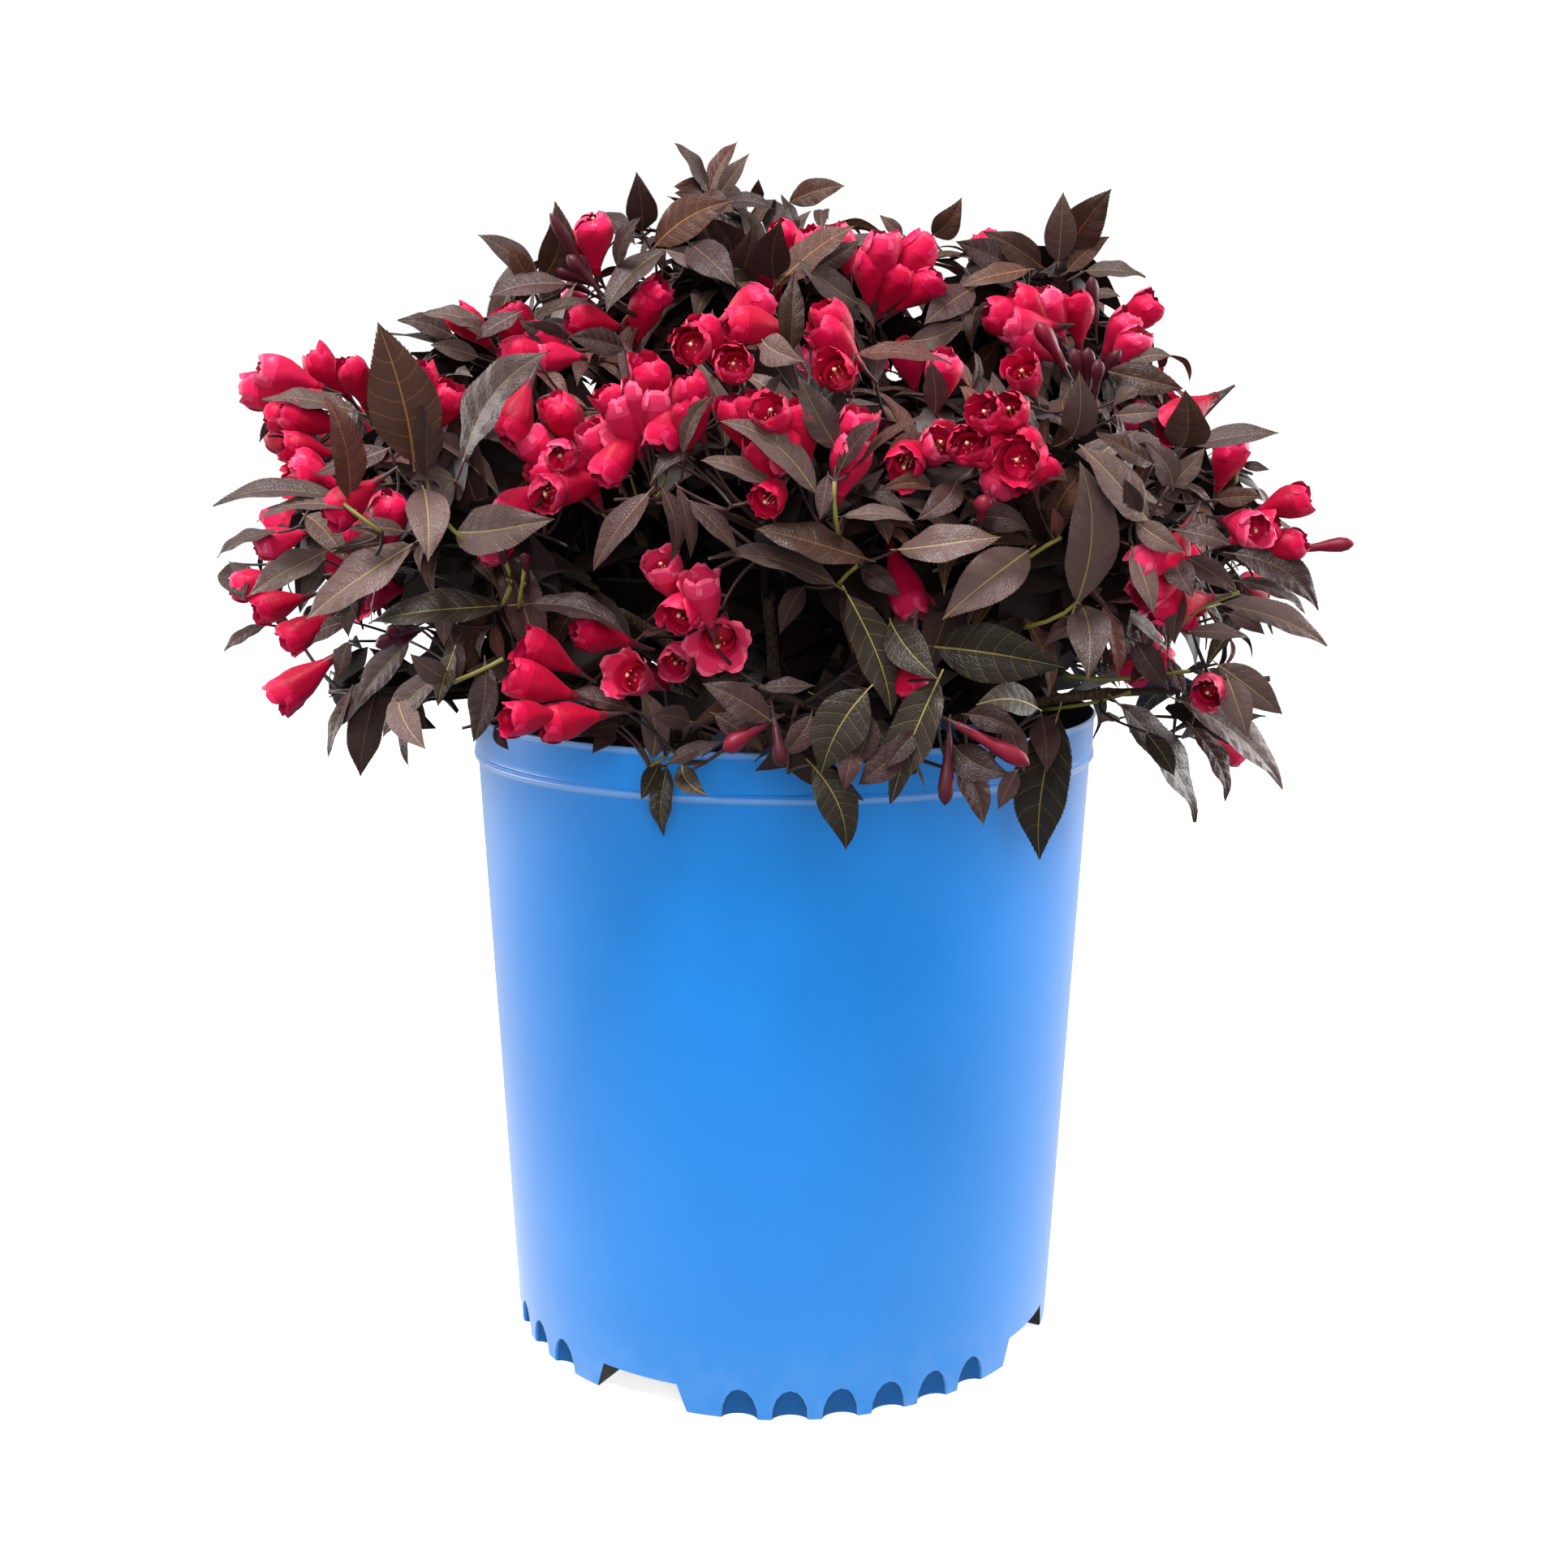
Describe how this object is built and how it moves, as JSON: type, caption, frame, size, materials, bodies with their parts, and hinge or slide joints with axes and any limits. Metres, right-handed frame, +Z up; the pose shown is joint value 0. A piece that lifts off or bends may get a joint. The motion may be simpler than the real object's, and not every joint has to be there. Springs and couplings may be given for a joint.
{
  "type": "weigela shrub in a nursery pot",
  "caption": "Low rounded weigela shrub in bloom, dark foliage and crimson funnel flowers, rooted in a round blue nursery pot with a banded rim and a scalloped foot.",
  "frame": {"origin": "centre of the pot's flat underside, on the ground that the pot stands on", "axes": "+Z up along the pot's axis; -Y is the side seen in the picture; +X to the right in it"},
  "size_m": [0.392, 0.3483, 0.425],
  "materials": {
    "pot": "satin",
    "potting_mix": "matte",
    "bark": "matte",
    "foliage": "satin"
  },
  "bodies": {
    "root": {"pot": "pot", "root_ball": "potting_mix", "stem_base": "bark", "bough_top": "bark", "bough_top_left": "bark", "bough_top_right": "bark", "bough_left": "bark", "bough_right": "bark", "bough_front": "bark", "bough_front_left": "bark", "bough_front_right": "bark", "bough_back": "bark", "bough_back_left": "bark", "bough_back_right": "bark", "bough_low_left": "bark", "bough_low_right": "bark", "bough_low_front": "bark", "bough_low_front_left": "bark", "bough_low_back_left": "bark", "bough_low_back_right": "bark", "bough_low_back": "bark", "foliage_top": "foliage", "foliage_top_left": "foliage", "foliage_top_right": "foliage", "foliage_left": "foliage", "foliage_right": "foliage", "foliage_front": "foliage", "foliage_front_left": "foliage", "foliage_front_right": "foliage", "foliage_back": "foliage", "foliage_back_left": "foliage", "foliage_back_right": "foliage", "foliage_low_left": "foliage", "foliage_low_right": "foliage", "foliage_low_front": "foliage", "foliage_low_front_left": "foliage", "foliage_low_back_left": "foliage", "foliage_low_back_right": "foliage", "foliage_low_back": "foliage"}
  },
  "joints": []
}
